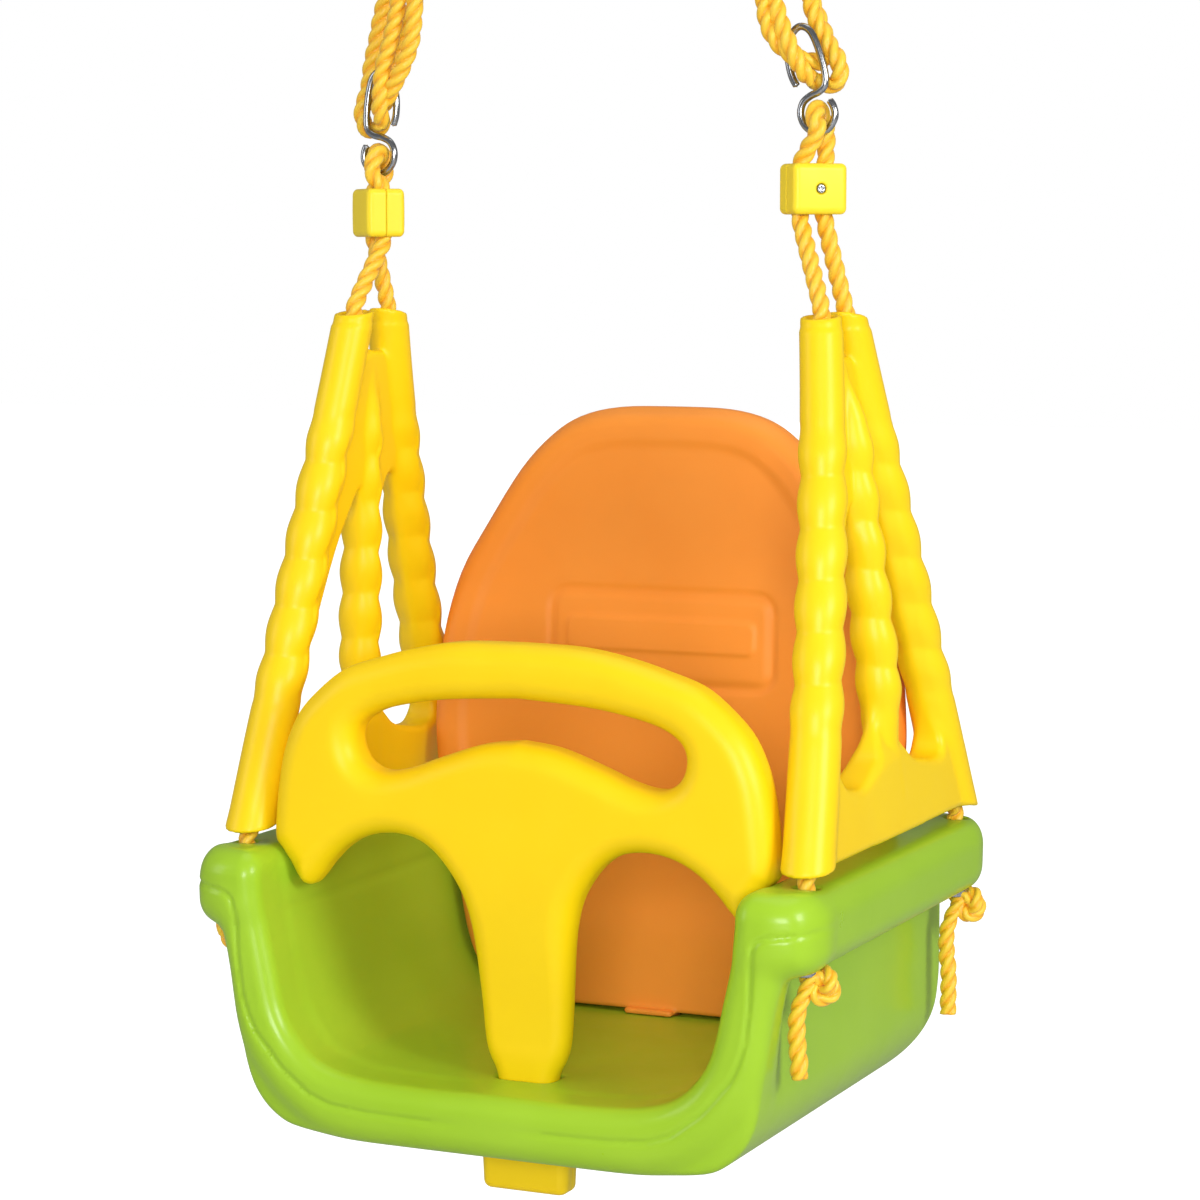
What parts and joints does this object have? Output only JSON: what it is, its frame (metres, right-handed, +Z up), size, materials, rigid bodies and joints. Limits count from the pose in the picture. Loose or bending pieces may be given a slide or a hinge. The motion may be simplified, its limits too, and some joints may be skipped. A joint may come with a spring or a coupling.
{
  "type": "toddler bucket swing",
  "caption": "Moulded toddler swing: bucket seat, tall backrest, T-shaped front guard and A-shaped side frames on ropes with clamps, S-hooks and hanging rings.",
  "frame": {"origin": "middle of the flat underside of the seat, on the symmetry plane, straight below the two hooks", "axes": "+X to the right seen from the front, +Y towards the backrest, +Z up"},
  "size_m": [0.368, 0.303, 0.7655],
  "materials": {
    "seat_plastic": "smooth blow-moulded lime green polyethylene, softly glossy",
    "backrest_plastic": "blow-moulded orange polyethylene with a fine grain",
    "guard_plastic": "blow-moulded yellow polyethylene, satin",
    "frame_plastic": "blow-moulded yellow polyethylene, satin",
    "clamp_plastic": "injection-moulded yellow plastic",
    "rope": "three-strand twisted golden yellow polypropylene rope",
    "bright_steel": "bright plated steel wire and pressings"
  },
  "bodies": {
    "hangers": {"left_hanging_ring": "bright_steel", "right_hanging_ring": "bright_steel"},
    "slings": {"left_hanger_rope": "rope", "right_hanger_rope": "rope", "left_s_hook": "bright_steel", "right_s_hook": "bright_steel"},
    "seat": {"seat_shell": "seat_plastic", "backrest": "backrest_plastic", "post_socket": "guard_plastic", "left_seat_rope": "rope", "left_clamp_inner": "clamp_plastic", "left_clamp_outer": "clamp_plastic", "left_clamp_screw": "bright_steel", "left_front_ferrule": "bright_steel", "left_rear_ferrule": "bright_steel", "right_seat_rope": "rope", "right_clamp_inner": "clamp_plastic", "right_clamp_outer": "clamp_plastic", "right_clamp_screw": "bright_steel", "right_front_ferrule": "bright_steel", "right_rear_ferrule": "bright_steel"},
    "guard": {"front_guard": "guard_plastic"},
    "left_frame": {"left_side_frame": "frame_plastic"},
    "right_frame": {"right_side_frame": "frame_plastic"}
  },
  "joints": [
    {"name": "swing", "type": "hinge", "parent": "hangers", "child": "slings", "pos_m": [0, 0, 0.695], "axis": [1, 0, 0], "range_deg": [-40, 40]},
    {"name": "seat_pitch", "type": "hinge", "parent": "slings", "child": "seat", "pos_m": [-0.00225, 0, 0.52828], "axis": [0.9973, 0, 0.0729], "range_deg": [-15, 15]},
    {"name": "guard_lift", "type": "slide", "parent": "seat", "child": "guard", "axis": [0, 0, 1], "range_m": [0, 0.028]},
    {"name": "left_frame_lift", "type": "slide", "parent": "seat", "child": "left_frame", "axis": [0.087, 0, 0.9962], "range_m": [0, 0.006]},
    {"name": "right_frame_lift", "type": "slide", "parent": "seat", "child": "right_frame", "axis": [-0.087, 0, 0.9962], "range_m": [0, 0.006]}
  ]
}
